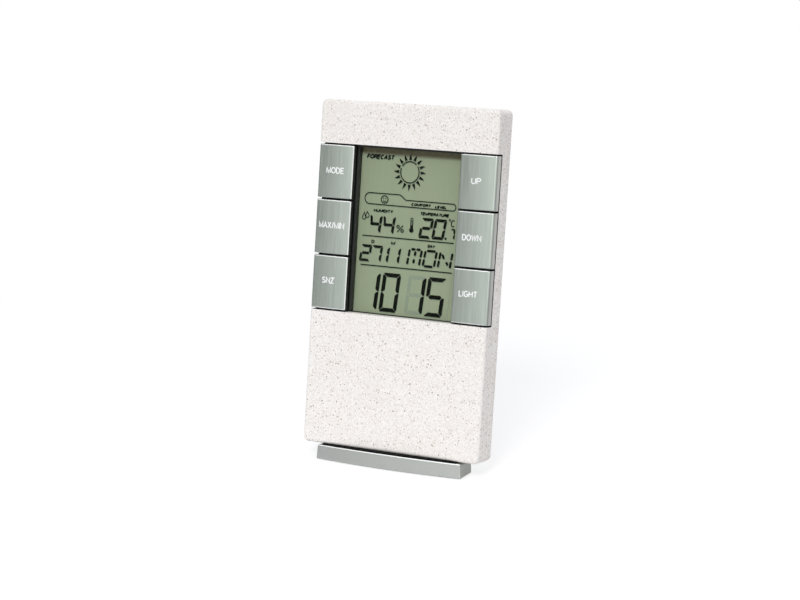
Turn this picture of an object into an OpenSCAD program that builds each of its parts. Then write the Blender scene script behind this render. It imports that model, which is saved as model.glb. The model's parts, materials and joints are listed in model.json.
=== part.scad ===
// Desk weather station: a thin upright body that leans back on a low foot, with a display sunk between
// two columns of three keys. Lengths are in millimetres. +Z is up, the display faces -Y, and the origin is
// the middle of the footprint on the table. Pieces of the body are drawn in the body's own upright frame:
// x across, y from the front face into the body, z up from its underside. lean_back() sets them on the foot.

/* [Body] */
// Width of the body across its front face
body_w = 76.5; // [76:0.1:84]
// Height of the plain chin below the display and keys
chin_h = 52.9; // [50:0.1:60]
// Height of the zone that holds the display and the keys
zone_h = 65.8; // [64.4:0.1:72]
// Height of the plain brow above the display and keys
brow_h = 17; // [16.7:0.1:26]
// Depth of the front shell at its sides
front_depth = 7.6; // [7.3:0.1:8]
// Wall thickness of the front shell
front_wall = 2; // [1.6:0.1:2.2]
// Wall thickness of the rear shell
rear_wall = 1.6; // [1.3:0.1:1.9]
// Rounding of the front edges and of the corners
front_edge_r = 1.3; // [0.8:0.1:1.8]
// Rounding of the rear edges
back_edge_r = 2.2; // [1.6:0.1:3]
// Angle by which the body leans back, in degrees
recline = 7.5; // [5:0.1:8]

/* [Display] */
// Width of the display that shows between the bezel walls
display_w = 43.6; // [40:0.1:44.2]
// Depth of the display glass behind the front face
display_depth = 5.5; // [5.3:0.1:5.8]
// Thickness of the bezel walls
bezel_t = 0.9; // [0.7:0.1:1.1]
// Thickness of the display glass
lcd_t = 1.8; // [1.4:0.1:2.2]
// How far the display glass runs on behind the carrier on each side
lcd_border = 2.1; // [1.6:0.1:2.6]
// Thickness of the clear window over the display
window_t = 0.7; // [0.4:0.1:0.8]
// Thickness of the light guide behind the display
guide_t = 1.3; // [1:0.1:1.6]
// Thickness of the circuit board
board_t = 1; // [0.8:0.1:1.6]

/* [Keys] */
// Gap between one key and the next
key_gap = 0.8; // [0.5:0.1:1.2]
// How far the keys stand proud of the body
key_proud = 0.1; // [0.05:0.05:0.3]
// Thickness of a key's face
key_face_t = 1.3; // [1:0.1:1.5]
// Thickness of a key's side walls
key_skirt_t = 1; // [0.7:0.1:1.3]
// How deep a key wraps round the body's side, from its own face
key_wrap = 2.6; // [2.3:0.1:3.2]
// Rounding of a key's outer edge
key_edge_r = 0.7; // [0.4:0.1:0.9]
// Travel of a key
key_travel = 0.5; // [0.3:0.05:0.6]

/* [Foot] */
// Width of the foot along its front
foot_w = 62; // [58:0.1:70]
// Depth of the foot from front to back
foot_d = 36.5; // [35.5:0.5:42]
// Bow of the foot's front face
foot_bow = 1.7; // [0.8:0.1:2.5]
// How far the middle of the foot's front stands ahead of the body
foot_lead = 2.7; // [1.8:0.1:3.5]
// Depth of the foot's straight ends
foot_end_d = 10; // [8:0.5:12]
// Width of the foot's tail at the back
foot_tail_w = 32; // [28:0.5:40]
// Rounding of the tail's corners
foot_tail_r = 5; // [3:0.5:7]
// Height of the body's lower front edge above the table
body_lift = 6.5; // [6.3:0.1:9]
// Height of the black spacer between foot and body
spacer_t = 0.55; // [0.4:0.05:1]
// How much wider the foot's ends and front are at the bottom
foot_flare = 0.5; // [0.2:0.1:0.8]

/* [Battery] */
// Diameter of one cell
cell_d = 10.5; // [10:0.1:10.8]
// Length of one cell with its cap
cell_l = 44.5; // [43.5:0.1:45.5]
// Height of the battery bay above the body's underside
bay_z = 11.6; // [11.2:0.1:13]
// Thickness of the battery door
door_t = 1.6; // [1.4:0.1:2]
// Length of a fitted contact spring
spring_l = 5.2; // [4.4:0.1:6]

/* [Hidden] */
$fn = 48;

// Clearances shared by the pieces
cut = 1;
seat_gap = 0.1;
slide_gap = 0.2;
fit_gap = 0.05;

// Body
body_h = chin_h + zone_h + brow_h;
zone_top = chin_h + zone_h;
body_inner_w = body_w - 2 * front_wall;
corner_r = back_edge_r + 0.1;
parting_groove = 0.25;
edge_layers = 5;
corner_sides = 32;
dome_sides = 240;
bow_sides = 720;
layer_t = 0.02;
tongue_t = 0.8;
tongue_h = 1.2;
tongue_inner_x = body_inner_w / 2 - seat_gap - tongue_t;
lip_t = 1.2;

// Bezel and carrier
bezel_top_t = 0.6;
bezel_w = display_w + 2 * bezel_t;
carrier_t = 0.9;
carrier_back_y = display_depth - seat_gap;
carrier_y = carrier_back_y - carrier_t;
carrier_over = 4.6;
carrier_w = body_inner_w - 2 * slide_gap;
carrier_z = chin_h - carrier_over;
carrier_h = zone_h + 2 * carrier_over;
display_z = chin_h + 2 * slide_gap;
display_top = zone_top - slide_gap - bezel_top_t;
display_h = display_top - display_z;

// Keys
key_rows = 3;
key_end_gap = key_gap / 2;
key_w = (body_w - bezel_w) / 2 + key_proud - slide_gap;
key_h = (zone_h - 2 * key_end_gap - (key_rows - 1) * key_gap) / key_rows;
key_pitch = key_h + key_gap;
key_x = body_w / 2 + key_proud - key_w / 2;
key_face_y = key_face_t - key_proud;
key_wrap_y = key_wrap - key_proud;
key_post_r = 1.6;
key_guide_gap = 0.08;
leg_w = 2.4;
leg_t = 0.9;
leg_hook = 0.5;
leg_hook_l = 0.8;
leg_share = 0.31;
notch_y = key_wrap_y + key_travel + slide_gap;
bezel_y = notch_y + seat_gap;

// Display stack and board
switch_w = 4;
lcd_back_y = display_depth + lcd_t;
guide_y = lcd_back_y + seat_gap;
board_y = guide_y + guide_t + slide_gap;
board_back_y = board_y + board_t;
board_back_gap = 2.1;
side_depth = board_back_y + board_back_gap + rear_wall;
board_w = body_inner_w - 2 * slide_gap;
board_z = carrier_z + 2 * seat_gap;
board_h = carrier_h - 4 * seat_gap;
lcd_w = display_w + 2 * lcd_border;
lcd_z = display_z - lcd_border;
lcd_h = display_h + 2 * lcd_border;
zebra_h = 1.8;
guide_w = lcd_w - zebra_h;
lcd_rib_t = 0.8;
lcd_rib_x = lcd_w / 2 + seat_gap + lcd_rib_t;
led_w = 3;
led_x_share = 0.25;
led_x = lcd_w * led_x_share;
led_h = 1;
led_d = 1.3;

// Tact switches and plungers, midway between the display's ribs and the shell's tongue
switch_x = (lcd_rib_x + tongue_inner_x) / 2;
plunger_r = 1.2;
plunger_y = carrier_back_y + leg_hook_l + slide_gap;
switch_y = plunger_y + key_travel + seat_gap;
plunger_grip = 0.7;
plunger_end_y = switch_y + plunger_grip;

// Screws
screw_r = 0.85;
screw_head_r = 1.6;
screw_head_t = 1;
post_r = 1.9;
board_screw_drop = 2.7;
board_screw_floor = 0.9;
shell_screw_r = 0.95;
shell_head_r = 1.9;
shell_head_t = 1.3;
screw_slot_l = 2.7;
screw_slot_w = 0.6;
shell_post_r = 2.5;
shell_boss_r = 3.1;
shell_post_inset = 7.9;
shell_post_z = 9.2;
shell_seat_t = 1.8;
shell_post_end_y = board_y + board_t / 2;
shell_boss_y = shell_post_end_y + seat_gap;

// Battery bay, cells and rear pod
bay_wall = 1.2;
bay_floor_t = 1;
cell_play = 0.3;
contact_t = 0.3;
bay_floor_y = front_wall + slide_gap;
cell_y = bay_floor_y + bay_floor_t + seat_gap + cell_d / 2;
door_y = cell_y + cell_d / 2 + slide_gap;
pod_back_y = door_y + door_t;
bay_w = cell_l + spring_l + 2 * contact_t + seat_gap;
bay_h = 2 * cell_d + 3 * cell_play;
lower_cell_z = bay_z + cell_play + cell_d / 2;
upper_cell_z = lower_cell_z + cell_d + cell_play;
cell_cap_r = 1.9;
cell_cap_l = 1;
cell_edge_r = 0.4;
pod_inset = 3.9;
pod_w = body_w - 2 * pod_inset;
pod_z = 4.5;
pod_h = body_h - 2 * pod_z;
pod_r = 4.5;
pod_chamfer = 1.6;
door_gap = 0.3;
door_pin_r = 0.6;
door_pin_l = 1;
door_ledge = 1;
door_latch_w = 12;
door_latch_slot = 0.6;
door_latch_h = 5;
door_grip_r = 5;
door_grip_w = 8;
door_grip_depth = 0.7;
pod_inner_y = pod_back_y - rear_wall;
board_screw_x = pod_w / 2 - rear_wall - screw_head_r - slide_gap;
door_axis_y = door_y + door_t / 2;
door_axis_z = bay_z + door_gap + door_t / 2;

// Contact springs and plates
wire_r = 0.35;
coil_turns = 4;
coil_r = 3.4;
coil_tip_r = 2.2;
rings_per_turn = 16;
wire_sides = 6;
plate_w = 7;
plate_h = 8;
tail_w = 2;
tail_rise = 2;
lower_tail_y = board_y - seat_gap - tail_w;
upper_tail_y = board_back_y + seat_gap;

// Parts on the back of the board
chip_r = 6.5;
chip_h = 1.4;
chip_ball_r = (chip_r * chip_r + chip_h * chip_h) / (2 * chip_h);
mid_z = chin_h + zone_h / 2;
crystal_r = 1.1;
crystal_l = 6;
can_r = 1.9;
can_l = 6;
can_drop_share = 0.2;
can_z = mid_z - zone_h * can_drop_share;
buzzer_r = 6.5;
buzzer_t = 2.4;
buzzer_x_share = 0.26;
buzzer_x = body_w * buzzer_x_share;
buzzer_z_share = 0.84;
buzzer_z = chin_h + zone_h * buzzer_z_share;
sensor_w = 10;
sensor_h = 7;
sensor_t = 2.6;
sensor_x_share = 0.27;
sensor_x = -body_w * sensor_x_share;
sensor_z_share = 0.12;
sensor_z = chin_h + zone_h * sensor_z_share;
sensor_slots = 3;
sensor_slot_share = 0.65;
bead_r = 1.3;
lead_r = 0.3;
lead_l = (pod_inner_y - board_back_y) / 2;
resistor_w = 1.6;
resistor_h = 0.8;
resistor_t = 0.5;
resistors_in_row = 8;
resistor_pitch = 3.2;
resistor_rise_share = 0.17;
resistor_z = mid_z + zone_h * resistor_rise_share;

// Vents and sound holes
vent_count = 5;
vent_w = 12;
vent_h = 1.2;
vent_pitch = 2.6;
sound_hole_r = 0.6;
sound_ring_r = 3.2;
sound_holes = 6;

// Foot
pad_proud = 0.25;
pad_t = 0.9;
pad_w = 40;
pad_d = 3.4;
pad_inset = 3.2;
tail_pad_w = 20;
foot_screw_r = 1.1;
foot_head_r = 2.1;
foot_head_t = 1.2;
foot_screw_l = 7;
foot_screw_share = 0.29;
foot_boss_r = 2.3;
foot_boss_h = 7.6;
foot_screw_y = front_depth - foot_boss_r - seat_gap;
foot_bow_r = (foot_w * foot_w / 4 + foot_bow * foot_bow) / (2 * foot_bow);
spacer_end_inset = 1.7;
spacer_rim = 0.45;
spacer_w = foot_w - 2 * spacer_end_inset;
spacer_inset = 1.2;
foot_seat_t = 1.5;
foot_seat_z = -spacer_t - foot_seat_t;

// Moves a child from the body's own frame to its place on the foot
module lean_back() {
    translate([0, foot_lead - foot_d / 2, body_lift]) rotate([-recline, 0, 0]) children();
}

// A block centred on x, from y0 to y1 and from z0 to z1
module block(w, y0, y1, z0, z1, x = 0) {
    translate([x - w / 2, y0, z0]) cube([w, y1 - y0, z1 - z0]);
}

// A round post along y at x, z
module post(r, y0, y1, x, z) {
    translate([x, y0, z]) rotate([-90, 0, 0]) cylinder(r = r, h = y1 - y0);
}

// Four discs at the corners of a rectangle, for hulls
module corner_discs(w, h, r, y0, y1, z0) {
    for (sx = [-1, 1], z = [z0 + r, z0 + h - r]) translate([sx * (w / 2 - r), y0, z])
        rotate([-90, 0, 0]) cylinder(r = r, h = y1 - y0, $fn = corner_sides);
}

// Layers of corner discs that round an edge by r: each next layer has drawn in and moved out a little more
module round_edge(w, h, corner, r, y, dir) {
    for (i = [0 : edge_layers]) let (a = i * 90 / edge_layers, inset = r * (1 - cos(a)), rise = r * sin(a))
        translate([0, y + dir * (rise - r), inset])
            corner_discs(w - 2 * inset, h - 2 * inset, corner - inset, -layer_t / 2, layer_t / 2, 0);
}

// Corner discs at the parting line, drawn in by its groove
module parting_discs(y0, y1) {
    corner_discs(body_w - 2 * parting_groove, body_h - 2 * parting_groove, corner_r - parting_groove, y0, y1,
        parting_groove);
}

// Outer form of the front shell, chamfered at the parting line
module front_form() {
    hull() {
        translate([0, layer_t / 2, 0]) round_edge(body_w, body_h, corner_r, front_edge_r, 0, -1);
        corner_discs(body_w, body_h, corner_r, front_edge_r, front_depth - parting_groove, 0);
        parting_discs(front_depth - parting_groove, front_depth);
    }
}

// Outer form of the rear shell's rim, chamfered at the parting line
module rear_form() {
    hull() {
        parting_discs(front_depth, front_depth + parting_groove);
        corner_discs(body_w, body_h, corner_r, front_depth + parting_groove, side_depth - back_edge_r, 0);
        translate([0, -layer_t / 2, 0]) round_edge(body_w, body_h, corner_r, back_edge_r, side_depth, 1);
    }
}

// Pod form on the rear shell, drawn in by inset for its hollow
module pod_form(inset, y0, y1) {
    hull() {
        corner_discs(pod_w - 2 * inset, pod_h - 2 * inset, pod_r - inset, y0, y1 - pod_chamfer,
            pod_z + inset);
        translate([0, 0, pod_chamfer / 2]) corner_discs(pod_w - 2 * inset - pod_chamfer,
            pod_h - 2 * inset - pod_chamfer, pod_r - inset - pod_chamfer / 2, y0, y1, pod_z + inset);
    }
}

module at_shell_screws() {
    for (sx = [-1, 1], z = [shell_post_z, body_h - shell_post_z])
        translate([sx * (body_w / 2 - shell_post_inset), 0, z]) children();
}

module at_board_screws() {
    for (sx = [-1, 1], z = [chin_h - board_screw_drop, zone_top + board_screw_drop])
        translate([sx * board_screw_x, 0, z]) children();
}

module at_foot_screws() {
    for (sx = [-1, 1]) translate([sx * foot_w * foot_screw_share, foot_screw_y, 0]) children();
}

function key_z(row) = chin_h + key_end_gap + key_h / 2 + row * key_pitch;

module at_switches() {
    for (sx = [-1, 1], row = [0 : key_rows - 1]) translate([sx * switch_x, 0, key_z(row)]) children();
}

module front_shell() {
    color("antiquewhite") lean_back() difference() {
        union() {
            difference() {
                front_form();
                block(body_inner_w, front_wall, front_depth + cut, front_wall, body_h - front_wall);
            }
            for (z = [chin_h - lip_t, zone_top])
                block(body_inner_w, front_wall / 2, carrier_y - slide_gap, z, z + lip_t);
            at_shell_screws() post(shell_post_r, front_wall / 2, shell_post_end_y, 0, 0);
            at_board_screws() post(post_r, front_wall / 2, carrier_y, 0, 0);
            at_foot_screws() translate([0, 0, front_wall / 2]) cylinder(r = foot_boss_r, h = foot_boss_h);
        }
        at_foot_screws() translate([0, 0, -cut])
            cylinder(r = foot_screw_r + fit_gap, h = cut + foot_screw_l + seat_gap);
        block(body_w + 2 * cut, -cut, notch_y, chin_h, zone_top);
        at_shell_screws() post(shell_screw_r + fit_gap, front_wall, shell_post_end_y + cut, 0, 0);
        at_board_screws() post(screw_r + fit_gap, board_screw_floor, carrier_y + cut, 0, 0);
    }
}

module rear_shell() {
    color("antiquewhite") lean_back() difference() {
        union() {
            difference() {
                union() {
                    rear_form();
                    pod_form(0, side_depth - back_edge_r, pod_back_y);
                }
                block(body_inner_w, front_depth - cut, side_depth - rear_wall, front_wall,
                    body_h - front_wall);
                pod_form(rear_wall, front_depth, pod_inner_y);
            }
            tongue();
            block(bay_w + 2 * bay_wall, bay_floor_y, pod_back_y - rear_wall / 2, bay_z - bay_wall,
                bay_z + bay_h + bay_wall);
            at_shell_screws() post(shell_boss_r, shell_boss_y, pod_back_y - rear_wall / 2, 0, 0);
        }
        block(bay_w, bay_floor_y + bay_floor_t, door_y, bay_z, bay_z + bay_h);
        block(bay_w, door_y - cut, pod_back_y + cut, bay_z, bay_z + bay_h);
        contact_slots();
        door_pins(fit_gap, cut / 2);
        at_shell_screws() post(shell_screw_r + seat_gap, shell_boss_y - cut, pod_back_y, 0, 0);
        at_shell_screws() post(shell_head_r + slide_gap, shell_boss_y + shell_seat_t, pod_back_y + cut, 0, 0);
        vents();
        sound_ring();
    }
    color("antiquewhite") lean_back() door_ledge_bar();
}

// Tongue that sits inside the front shell's rim, on a step inside the rear shell's own rim
module tongue() {
    inset = seat_gap + tongue_t;
    difference() {
        union() {
            block(body_inner_w - 2 * seat_gap, front_depth - tongue_h, front_depth + tongue_h,
                front_wall + seat_gap, body_h - front_wall - seat_gap);
            block(body_inner_w + front_wall, front_depth + parting_groove, front_depth + tongue_h,
                front_wall / 2, body_h - front_wall / 2);
        }
        block(2 * tongue_inner_x, front_depth - tongue_h - cut, front_depth + tongue_h + cut,
            front_wall + inset, body_h - front_wall - inset);
        at_foot_screws() translate([0, 0, -cut]) cylinder(r = foot_boss_r + slide_gap, h = body_h / 2);
    }
}

// Ledge inside the bay that the door's free edge rests on
module door_ledge_bar() {
    block(bay_w + bay_wall, door_y - seat_gap - door_ledge, door_y - seat_gap,
        bay_z + bay_h - door_ledge, bay_z + bay_h + bay_wall / 2);
}

module vents() {
    for (i = [0 : vent_count - 1]) let (z = sensor_z + (i - (vent_count - 1) / 2) * vent_pitch)
        block(vent_w, pod_inner_y - cut, pod_back_y + cut, z - vent_h / 2, z + vent_h / 2, sensor_x);
}

module sound_ring() {
    for (i = [0 : sound_holes]) rotate_about(buzzer_x, buzzer_z, i * 360 / sound_holes)
        post(sound_hole_r, pod_inner_y - cut, pod_back_y + cut, i == sound_holes ? 0 : sound_ring_r, 0);
}

module rotate_about(x, z, angle) {
    translate([x, 0, z]) rotate([0, angle, 0]) children();
}

module key_carrier() {
    color("#1c1d1b") lean_back() difference() {
        union() {
            block(carrier_w, carrier_y, carrier_back_y, carrier_z, carrier_z + carrier_h);
            block(bezel_w, bezel_y, carrier_y + carrier_t / 2, display_z - slide_gap, display_top + bezel_top_t);
            at_board_screws() post(post_r, carrier_y, board_y, 0, 0);
            for (sx = [-1, 1]) block(lcd_rib_t, carrier_y + carrier_t / 2, guide_y + guide_t, lcd_z,
                lcd_z + lcd_h, sx * (lcd_rib_x - lcd_rib_t / 2));
            block(lcd_w, carrier_y + carrier_t / 2, lcd_back_y, lcd_z - seat_gap - lcd_rib_t,
                lcd_z - seat_gap);
        }
        block(display_w, -cut, carrier_back_y + cut, display_z, display_top);
        block(bezel_w + cut, -cut, carrier_y, display_z - cut, display_z);
        at_board_screws() post(screw_r + seat_gap, carrier_y - cut, board_y + cut, 0, 0);
        at_switches() post(key_post_r + key_guide_gap, carrier_y - cut, carrier_back_y + cut, 0, 0);
        at_switches() for (s = [-1, 1]) block(leg_w + 2 * slide_gap, carrier_y - cut, carrier_back_y + cut,
            s * key_h * leg_share - leg_t / 2 - seat_gap, s * key_h * leg_share + leg_t / 2 + seat_gap);
    }
}

module display_window() {
    color("lightcyan") lean_back() block(display_w - 2 * seat_gap, carrier_back_y - window_t,
        carrier_back_y, display_z + seat_gap, display_top - seat_gap);
}

module lcd_glass() {
    color("#969e86") lean_back() block(lcd_w, display_depth, lcd_back_y, lcd_z, lcd_z + lcd_h);
}

module light_guide() {
    color("whitesmoke") lean_back() block(guide_w, guide_y, guide_y + guide_t, lcd_z + 2 * zebra_h,
        lcd_z + lcd_h);
}

module backlight_leds() {
    color("lemonchiffon") lean_back() for (sx = [-1, 1]) block(led_w, board_y - led_d, board_y,
        lcd_z + lcd_h + seat_gap, lcd_z + lcd_h + seat_gap + led_h, sx * led_x);
}

module zebra_strip() {
    color("dimgray") lean_back() block(guide_w, lcd_back_y, board_y, lcd_z + slide_gap,
        lcd_z + slide_gap + zebra_h);
}

module circuit_board() {
    color("darkgreen") lean_back() difference() {
        block(board_w, board_y, board_back_y, board_z, board_z + board_h);
        at_board_screws() post(screw_r + seat_gap, board_y - cut, board_back_y + cut, 0, 0);
    }
}

module controller_chip() {
    color("#18181a") lean_back() intersection() {
        translate([0, board_back_y + chip_h - chip_ball_r, mid_z]) sphere(chip_ball_r, $fn = dome_sides);
        block(2 * chip_r + cut, board_back_y, board_back_y + chip_h + cut, mid_z - chip_r - cut,
            mid_z + chip_r + cut);
    }
}

module crystal() {
    color("silver") lean_back() translate([buzzer_x - crystal_l / 2, board_back_y + crystal_r, mid_z])
        rotate([0, 90, 0]) cylinder(r = crystal_r, h = crystal_l);
}

module capacitor() {
    color("midnightblue") lean_back() translate([buzzer_x - can_l / 2, board_back_y + can_r, can_z])
        rotate([0, 90, 0]) cylinder(r = can_r, h = can_l);
}

module resistors() {
    color("dimgray") lean_back() for (i = [0 : resistors_in_row - 1]) block(resistor_w, board_back_y,
        board_back_y + resistor_t, resistor_z, resistor_z + resistor_h,
        (i - (resistors_in_row - 1) / 2) * resistor_pitch);
}

module buzzer() {
    color("#222222") lean_back() difference() {
        post(buzzer_r, board_back_y, board_back_y + buzzer_t, buzzer_x, buzzer_z);
        post(sound_hole_r, board_back_y + buzzer_t / 2, board_back_y + buzzer_t + cut, buzzer_x, buzzer_z);
    }
}

module humidity_sensor() {
    slot_pitch = sensor_w / (sensor_slots + 1);
    slot_h = sensor_h * sensor_slot_share;
    color("white") lean_back() difference() {
        block(sensor_w, board_back_y, board_back_y + sensor_t, sensor_z - sensor_h / 2,
            sensor_z + sensor_h / 2, sensor_x);
        for (i = [0 : sensor_slots - 1]) block(slot_pitch / 2, board_back_y + sensor_t / 2,
            board_back_y + sensor_t + cut, sensor_z - slot_h / 2, sensor_z + slot_h / 2,
            sensor_x + (i - (sensor_slots - 1) / 2) * slot_pitch);
    }
}

module temperature_sensor() {
    bead_x = sensor_x + sensor_w;
    color("black") lean_back() {
        translate([bead_x, board_back_y + lead_l, sensor_z]) sphere(bead_r);
        for (s = [-1, 1])
            post(lead_r, board_back_y, board_back_y + lead_l, bead_x + s * bead_r / 2, sensor_z);
    }
}

module tact_switches() {
    color("#2b2b2e") lean_back() at_switches() difference() {
        block(switch_w, switch_y, board_y, -switch_w / 2, switch_w / 2);
        post(plunger_r + fit_gap, switch_y - cut, plunger_end_y + key_travel + seat_gap, 0, 0);
    }
}

// One key: a cap that wraps round the body's side (side is 1 for the right column and -1 for the left), a
// post that presses the switch, and two legs that hook behind the carrier
module key(side, row) {
    inner_y = key_face_y - key_face_t / 2;
    hook_y = carrier_back_y + seat_gap;
    color("silver") lean_back() translate([0, 0, key_z(row)]) {
        translate([side * key_x, 0, 0]) mirror([side < 0 ? 1 : 0, 0, 0]) key_cap();
        post(key_post_r, inner_y, plunger_y, side * switch_x, 0);
        for (s = [-1, 1]) translate([side * switch_x, 0, s * key_h * leg_share]) {
            block(leg_w, inner_y, hook_y + leg_hook_l, -leg_t / 2, leg_t / 2);
            translate([0, 0, s * leg_hook / 2])
                block(leg_w, hook_y, hook_y + leg_hook_l, -leg_t / 2, leg_t / 2);
        }
    }
}

module key_cap() {
    difference() {
        key_plan(key_w, key_wrap_y);
        block(key_w - 2 * key_skirt_t, key_face_y, key_wrap_y + cut, -key_h / 2 + key_skirt_t,
            key_h / 2 - key_skirt_t);
    }
}

// Cap block with its outer front edge rounded
module key_plan(w, depth) {
    translate([-w / 2, 0, -key_h / 2]) linear_extrude(key_h) union() {
        translate([0, -key_proud]) square([w - key_edge_r, key_edge_r]);
        translate([0, key_edge_r - key_proud]) square([w, depth + key_proud - key_edge_r]);
        translate([w - key_edge_r, key_edge_r - key_proud]) circle(key_edge_r);
    }
}

module plunger(side, row) {
    color("ivory") lean_back() post(plunger_r, plunger_y, plunger_end_y, side * switch_x, key_z(row));
}

// A cell along x with its cap towards side
module cell(side, z) {
    body_l = cell_l - cell_cap_l;
    cap_end_x = bay_w / 2 - contact_t - seat_gap / 2;
    color("#3a6ea5") lean_back() translate([side * cap_end_x, cell_y, z]) rotate([0, -side * 90, 0]) {
        cylinder(r = cell_cap_r, h = cell_cap_l + cell_edge_r);
        translate([0, 0, cell_cap_l + cell_edge_r]) cylinder(r = cell_d / 2, h = body_l - cell_edge_r);
        translate([0, 0, cell_cap_l])
            cylinder(r1 = cell_d / 2 - cell_edge_r, r2 = cell_d / 2, h = cell_edge_r);
    }
}

// Coil of a contact spring, from x = 0 to x = length, narrowing towards the cell
function coil_point(t, length, a) =
    let (turn = t * coil_turns * 360, r = coil_r + (coil_tip_r - coil_r) * t + wire_r * cos(a))
    [wire_r + t * (length - 2 * wire_r) + wire_r * sin(a), r * cos(turn), r * sin(turn)];

module coil(length) {
    rings = coil_turns * rings_per_turn;
    points = [for (i = [0 : rings], j = [0 : wire_sides - 1])
        coil_point(i / rings, length, j * 360 / wire_sides)];
    sides = [for (i = [0 : rings - 1], j = [0 : wire_sides - 1]) let (k = (j + 1) % wire_sides)
        [i * wire_sides + j, i * wire_sides + k, (i + 1) * wire_sides + k, (i + 1) * wire_sides + j]];
    first_end = [for (j = [0 : wire_sides - 1]) wire_sides - 1 - j];
    last_end = [for (j = [0 : wire_sides - 1]) rings * wire_sides + j];
    polyhedron(points, concat(sides, [first_end, last_end]), convexity = 8);
}

// Flat contact plate on one end wall of the bay
module plate(side, z0, z1) {
    block(contact_t, cell_y - plate_w / 2, cell_y + plate_w / 2, z0, z1, side * (bay_w / 2 - contact_t / 2));
}

// Strip that leaves the bay through its left wall and runs up in front of the board
module outer_tail(z) {
    outer_x = -bay_w / 2 - bay_wall - contact_t;
    translate([outer_x, lower_tail_y, z - tail_w / 2]) {
        cube([contact_t + bay_wall + contact_t, tail_w, tail_w]);
        cube([contact_t, tail_w, board_z + tail_rise - z + tail_w / 2]);
    }
}

// Strip that runs up through the bay's top and behind the board
module inner_tail(z) {
    translate([-bay_w / 2, upper_tail_y, z]) cube([contact_t, tail_w, board_z + tail_rise - z]);
}

module contact_slots() {
    translate([-bay_w / 2 - bay_wall - cut, lower_tail_y - seat_gap, lower_cell_z - tail_w / 2 - seat_gap])
        cube([bay_wall + 2 * cut, tail_w + 2 * seat_gap, tail_w + 2 * seat_gap]);
    translate([-bay_w / 2 - seat_gap, upper_tail_y - seat_gap, bay_z + bay_h - cut])
        cube([contact_t + 2 * seat_gap, tail_w + 2 * seat_gap, bay_wall + 2 * cut]);
}

module bridge_contact() {
    color("gold") lean_back() {
        plate(1, lower_cell_z - plate_h / 2, upper_cell_z + plate_h / 2);
        translate([bay_w / 2 - contact_t, cell_y, lower_cell_z]) mirror([1, 0, 0])
            coil(spring_l - seat_gap / 2);
    }
}

module positive_contact() {
    color("gold") lean_back() {
        plate(-1, lower_cell_z - plate_h / 2, lower_cell_z + plate_h / 2);
        outer_tail(lower_cell_z);
    }
}

module negative_contact() {
    color("gold") lean_back() {
        plate(-1, upper_cell_z - plate_h / 2, upper_cell_z + plate_h / 2);
        inner_tail(upper_cell_z);
        translate([-bay_w / 2 + contact_t, cell_y, upper_cell_z]) coil(spring_l - seat_gap / 2);
    }
}

// Pins at the foot of the door, grown by gap for their holes
module door_pins(gap, extra) {
    pin_x = bay_w / 2 + door_pin_l + extra;
    translate([-pin_x, door_axis_y, door_axis_z]) rotate([0, 90, 0])
        cylinder(r = door_pin_r + gap, h = 2 * pin_x);
}

module battery_door() {
    door_w = bay_w - 2 * door_gap;
    door_top = bay_z + bay_h - door_gap;
    color("antiquewhite") lean_back() {
        difference() {
            union() {
                block(door_w, door_y, pod_back_y, door_axis_z, door_top);
                translate([-door_w / 2, door_axis_y, door_axis_z]) rotate([0, 90, 0])
                    cylinder(r = door_t / 2, h = door_w);
            }
            for (sx = [-1, 1]) block(door_latch_slot, door_y - cut, pod_back_y + cut, door_top - door_latch_h,
                door_top + cut, sx * door_latch_w / 2);
            translate([-door_grip_w / 2, pod_back_y + door_grip_r - door_grip_depth, door_top - door_latch_h])
                rotate([0, 90, 0]) cylinder(r = door_grip_r, h = door_grip_w);
        }
        door_pins(0, -seat_gap);
    }
}

module board_screws() {
    color("silver") lean_back() at_board_screws() {
        post(screw_r, board_screw_floor + seat_gap, board_back_y + screw_head_t / 2, 0, 0);
        post(screw_head_r, board_back_y, board_back_y + screw_head_t, 0, 0);
    }
}

module shell_screws() {
    seat_y = shell_boss_y + shell_seat_t;
    color("silver") lean_back() at_shell_screws() difference() {
        union() {
            post(shell_screw_r, front_wall + seat_gap, seat_y + shell_head_t / 2, 0, 0);
            post(shell_head_r, seat_y, seat_y + shell_head_t, 0, 0);
        }
        for (turn = [0, 90]) rotate([0, turn, 0]) block(screw_slot_l, seat_y + shell_head_t / 2,
            seat_y + shell_head_t + cut, -screw_slot_w / 2, screw_slot_w / 2);
    }
}

module foot_spacer() {
    color("#111111") difference() {
        intersection() {
            lean_back() block(spacer_w, -foot_lead, side_depth - spacer_inset, -spacer_t, 0);
            translate([0, foot_bow_r - foot_d / 2, 0])
                cylinder(r = foot_bow_r - foot_flare - spacer_rim, h = 2 * body_lift, $fn = bow_sides);
        }
        lean_back() at_foot_screws() translate([0, 0, -spacer_t - cut])
            cylinder(r = foot_screw_r + seat_gap, h = spacer_t + 2 * cut);
    }
}

// Plan of the foot: straight ends, then sides that draw in to a rounded tail
module foot_plan() {
    half_w = foot_w / 2 + foot_flare;
    end_y = foot_bow + foot_end_d - foot_d / 2;
    corner = [foot_tail_w / 2 - foot_tail_r, foot_d / 2 - foot_tail_r];
    reach = norm(corner - [half_w, end_y]);
    aim = atan2(corner[1] - end_y, corner[0] - half_w) - asin(foot_tail_r / reach);
    run = sqrt(reach * reach - foot_tail_r * foot_tail_r);
    side = [half_w + run * cos(aim), end_y + run * sin(aim)];
    polygon([[-half_w, -foot_d / 2], [half_w, -foot_d / 2], [half_w, end_y], side, [corner[0], foot_d / 2],
        [-corner[0], foot_d / 2], [-side[0], side[1]], [-half_w, end_y]]);
    for (sx = [-1, 1]) translate([sx * corner[0], corner[1]]) circle(foot_tail_r);
}

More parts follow.
